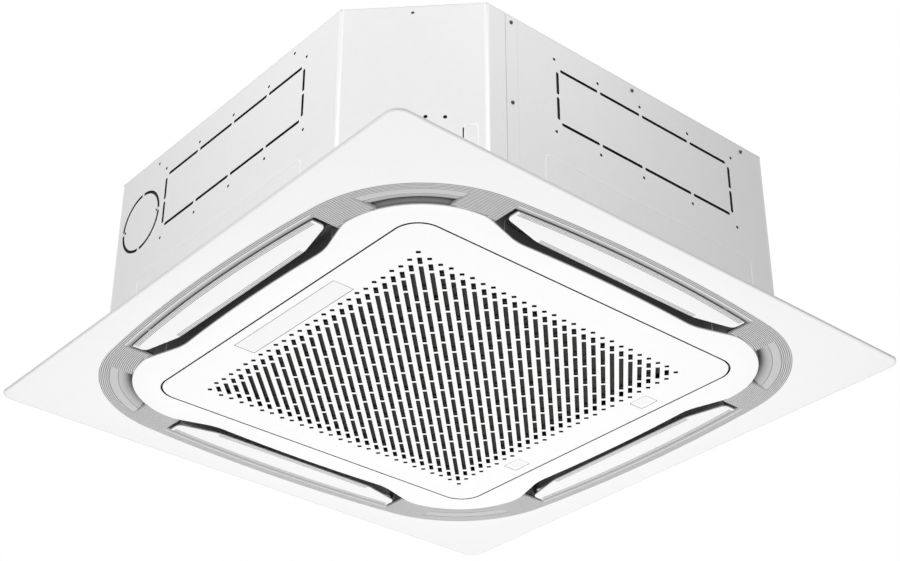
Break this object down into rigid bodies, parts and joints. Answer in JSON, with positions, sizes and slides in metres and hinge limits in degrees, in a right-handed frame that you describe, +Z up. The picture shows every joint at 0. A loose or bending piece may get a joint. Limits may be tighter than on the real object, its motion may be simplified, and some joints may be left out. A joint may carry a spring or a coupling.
{
  "type": "ceiling cassette air conditioner",
  "caption": "Ceiling cassette air conditioner: octagonal steel casing over a square white panel with hinged air flaps, grey ribbed ring and slotted intake grille.",
  "frame": {"origin": "centre of the panel on the ceiling plane, level with the back face of the panel's lip", "axes": "+Z up into the ceiling void; +X from the grille's hinge side to its latch side; +Y along the grille's hinge"},
  "size_m": [0.95, 0.95, 0.307],
  "materials": {
    "panel_plastic": "fine satin white moulding",
    "ring_plastic": "light grey ribbed moulding",
    "casing_sheet": "light grey coated steel sheet",
    "dark_plastic": "dark grey moulding",
    "white_plastic": "plain white moulding",
    "foam": "expanded polystyrene, fine beads",
    "bare_steel": "zinc coated",
    "coil_fins": "stacked thin fins",
    "copper_pipe": "drawn copper tube",
    "brass": "machined",
    "rubber": "black rubber",
    "board": "green lacquered board"
  },
  "bodies": {
    "base": {"panel_frame": "panel_plastic", "outlet_ring": "ring_plastic", "corner_cover_1": "ring_plastic", "corner_cover_2": "ring_plastic", "corner_cover_3": "ring_plastic", "corner_cover_4": "ring_plastic", "flap_motor_1": "dark_plastic", "flap_motor_2": "dark_plastic", "flap_motor_3": "dark_plastic", "flap_motor_4": "dark_plastic", "panel_screw_1": "bare_steel", "panel_screw_2": "bare_steel", "panel_screw_3": "bare_steel", "panel_screw_4": "bare_steel", "casing_sheet_left": "casing_sheet", "casing_sheet_right": "casing_sheet", "top_plate": "casing_sheet", "top_foam": "foam", "side_foam": "foam", "drain_pan": "foam", "bell_mouth": "dark_plastic", "fan_motor": "bare_steel", "motor_foot_1": "rubber", "motor_foot_2": "rubber", "motor_foot_3": "rubber", "coil": "coil_fins", "closing_plate": "bare_steel", "gas_pipe": "copper_pipe", "liquid_pipe": "copper_pipe", "gas_nut": "brass", "liquid_nut": "brass", "pipe_plate": "casing_sheet", "drain_pump": "white_plastic", "drain_pipe": "rubber", "drain_socket": "white_plastic", "float_switch": "dark_plastic", "control_box": "bare_steel", "control_cover": "bare_steel", "circuit_board": "board", "terminal_block": "dark_plastic"},
    "flap_1": {"flap_1": "panel_plastic"},
    "flap_2": {"flap_2": "panel_plastic"},
    "flap_3": {"flap_3": "panel_plastic"},
    "flap_4": {"flap_4": "panel_plastic"},
    "grille_hangers": {"hinge_hanger_1": "bare_steel", "hinge_hanger_2": "bare_steel"},
    "grille": {"intake_grille": "panel_plastic", "window_plate": "panel_plastic", "air_filter": "dark_plastic", "latch_spring_1": "bare_steel", "latch_spring_2": "bare_steel"},
    "latch_button_1": {"latch_button_1": "panel_plastic"},
    "latch_tongue_1": {"latch_tongue_1": "dark_plastic"},
    "latch_button_2": {"latch_button_2": "panel_plastic"},
    "latch_tongue_2": {"latch_tongue_2": "dark_plastic"},
    "fan": {"turbo_fan": "dark_plastic", "motor_shaft": "bare_steel", "fan_nut": "brass"},
    "pump_impeller": {"pump_impeller": "dark_plastic"},
    "float": {"float_ring": "white_plastic"}
  },
  "joints": [
    {"name": "flap_hinge_1", "type": "hinge", "parent": "base", "child": "flap_1", "pos_m": [0, 0.38, 0.016], "axis": [-1, 0, 0], "range_deg": [0, 60]},
    {"name": "flap_hinge_2", "type": "hinge", "parent": "base", "child": "flap_2", "pos_m": [-0.38, 0, 0.016], "axis": [0, -1, 0], "range_deg": [0, 60]},
    {"name": "flap_hinge_3", "type": "hinge", "parent": "base", "child": "flap_3", "pos_m": [0, -0.38, 0.016], "axis": [1, 0, 0], "range_deg": [0, 60]},
    {"name": "flap_hinge_4", "type": "hinge", "parent": "base", "child": "flap_4", "pos_m": [0.38, 0, 0.016], "axis": [0, 1, 0], "range_deg": [0, 60]},
    {"name": "hanger_drop", "type": "slide", "parent": "base", "child": "grille_hangers", "axis": [0, 0, -1], "range_m": [0, 0.01]},
    {"name": "grille_hinge", "type": "hinge", "parent": "grille_hangers", "child": "grille", "pos_m": [-0.3055, 0, 0.0008], "axis": [0, 1, 0], "range_deg": [0, 90]},
    {"name": "latch_press_1", "type": "slide", "parent": "grille", "child": "latch_button_1", "axis": [0, 0, 1], "range_m": [0, 0.004], "stiffness_N_per_m": 400, "springref_m": -0.004},
    {"name": "latch_bolt_1", "type": "slide", "parent": "grille", "child": "latch_tongue_1", "axis": [-1, 0, 0], "range_m": [0, 0.0065], "stiffness_N_per_m": 200, "springref_m": -0.004, "deforming": ["latch_spring_1"]},
    {"name": "latch_press_2", "type": "slide", "parent": "grille", "child": "latch_button_2", "axis": [0, 0, 1], "range_m": [0, 0.004], "stiffness_N_per_m": 400, "springref_m": -0.004},
    {"name": "latch_bolt_2", "type": "slide", "parent": "grille", "child": "latch_tongue_2", "axis": [-1, 0, 0], "range_m": [0, 0.0065], "stiffness_N_per_m": 200, "springref_m": -0.004, "deforming": ["latch_spring_2"]},
    {"name": "fan_spin", "type": "hinge", "parent": "base", "child": "fan", "pos_m": [0, 0, 0.15], "axis": [0, 0, 1], "continuous": true},
    {"name": "pump_spin", "type": "hinge", "parent": "base", "child": "pump_impeller", "pos_m": [0.25, 0.345, 0.06], "axis": [0, 0, 1], "continuous": true},
    {"name": "float_rise", "type": "slide", "parent": "base", "child": "float", "axis": [0, 0, 1], "range_m": [0, 0.012]}
  ],
  "couplings": [
    {"joint": "latch_bolt_1", "follows": "latch_press_1", "ratio": 1.625},
    {"joint": "latch_bolt_2", "follows": "latch_press_2", "ratio": 1.625},
    {"joint": "hanger_drop", "follows": "grille_hinge", "m_per_rad": 0.0063}
  ]
}
